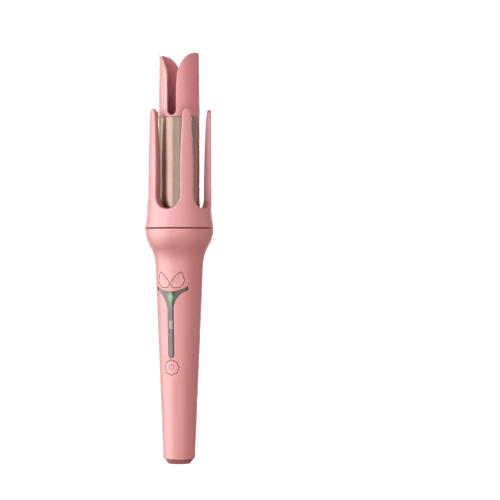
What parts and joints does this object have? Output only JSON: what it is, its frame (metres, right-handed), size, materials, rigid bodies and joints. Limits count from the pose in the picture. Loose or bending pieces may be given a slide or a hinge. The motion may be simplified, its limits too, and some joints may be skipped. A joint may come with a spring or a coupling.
{
  "type": "automatic hair curler",
  "caption": "Cordless automatic hair curler: tapered handle with Y-shaped display, turning claw sleeve round a metal barrel, forked tip.",
  "frame": {"origin": "centre of the base cap's flat underside", "axes": "+Z along the curler from base to tip, -Y towards the front with the display and keys, +X to the front's right"},
  "size_m": [0.0538, 0.0538, 0.3112],
  "materials": {
    "rose_casing": "satin moulded",
    "rose_sleeve": "satin moulded",
    "rose_cap": "satin moulded",
    "dark_rose": "satin moulded",
    "rose_key": "satin moulded",
    "smoked_window": "polished, smoked",
    "milky_guide": "frosted, light-spreading",
    "champagne_barrel": "anodised and coated, satin gloss",
    "raw_aluminium": "extruded",
    "steel": "zinc plated",
    "brass_bush": "machined",
    "black_nylon": "glass filled",
    "white_acetal": "moulded",
    "green_board": "solder mask",
    "black_chip": "moulded",
    "cell_wrap": "shrink sleeve",
    "nickel": "nickel strip",
    "felt_seal": "matt",
    "ceramic": "fired",
    "lead_sleeve": "braided glass sleeve",
    "magnet": "nickel plated"
  },
  "bodies": {
    "handle": {"barrel_tube": "champagne_barrel", "base_cap": "dark_rose", "battery_cell": "cell_wrap", "battery_holder": "black_nylon", "battery_tabs": "nickel", "board_chips": "black_chip", "board_screws": "steel", "charge_board": "green_board", "chassis": "black_nylon", "chassis_screws": "steel", "display_leds": "milky_guide", "display_window": "smoked_window", "dust_seal": "felt_seal", "front_shell": "rose_casing", "gear_motor": "steel", "hall_sensor_board": "green_board", "heat_spreader_front": "raw_aluminium", "heat_spreader_rear": "raw_aluminium", "heater_leads": "lead_sleeve", "heater_plate": "ceramic", "heater_springs": "steel", "insulator_collar": "black_nylon", "light_guide": "milky_guide", "main_board": "green_board", "motor_screws": "steel", "rear_shell": "rose_casing", "retaining_ring": "steel", "shell_screws": "steel", "tact_switches": "black_chip", "thermal_fuse": "steel", "thermistor": "ceramic", "thrust_washer": "white_acetal", "tip_cap": "rose_cap", "tip_plug": "black_nylon", "tip_screw": "steel", "top_washer": "white_acetal", "usb_port": "steel"},
    "claws": {"claw_sleeve": "rose_sleeve", "sleeve_bush": "brass_bush", "ring_gear": "white_acetal", "ring_gear_screws": "steel", "home_magnet": "magnet"},
    "pinion": {"motor_pinion": "white_acetal", "motor_shaft": "steel"},
    "left_key": {"left_leaf_button": "rose_key"},
    "right_key": {"right_leaf_button": "rose_key"},
    "power_key": {"power_button": "rose_key"}
  },
  "joints": [
    {"name": "claw_spin", "type": "hinge", "parent": "handle", "child": "claws", "pos_m": [0, 0, 0.2], "axis": [0, 0, 1], "continuous": true},
    {"name": "pinion_spin", "type": "hinge", "parent": "handle", "child": "pinion", "pos_m": [0, 0.009, 0.175], "axis": [0, 0, 1], "continuous": true},
    {"name": "left_leaf_press", "type": "slide", "parent": "handle", "child": "left_key", "axis": [0, 1, 0], "range_m": [0, 0.0006], "stiffness_N_per_m": 900, "springref_m": -0.0004},
    {"name": "right_leaf_press", "type": "slide", "parent": "handle", "child": "right_key", "axis": [0, 1, 0], "range_m": [0, 0.0006], "stiffness_N_per_m": 900, "springref_m": -0.0004},
    {"name": "power_press", "type": "slide", "parent": "handle", "child": "power_key", "axis": [0, 1, 0], "range_m": [0, 0.0006], "stiffness_N_per_m": 900, "springref_m": -0.0004}
  ],
  "couplings": [
    {"joint": "pinion_spin", "follows": "claw_spin", "ratio": 2.5}
  ]
}
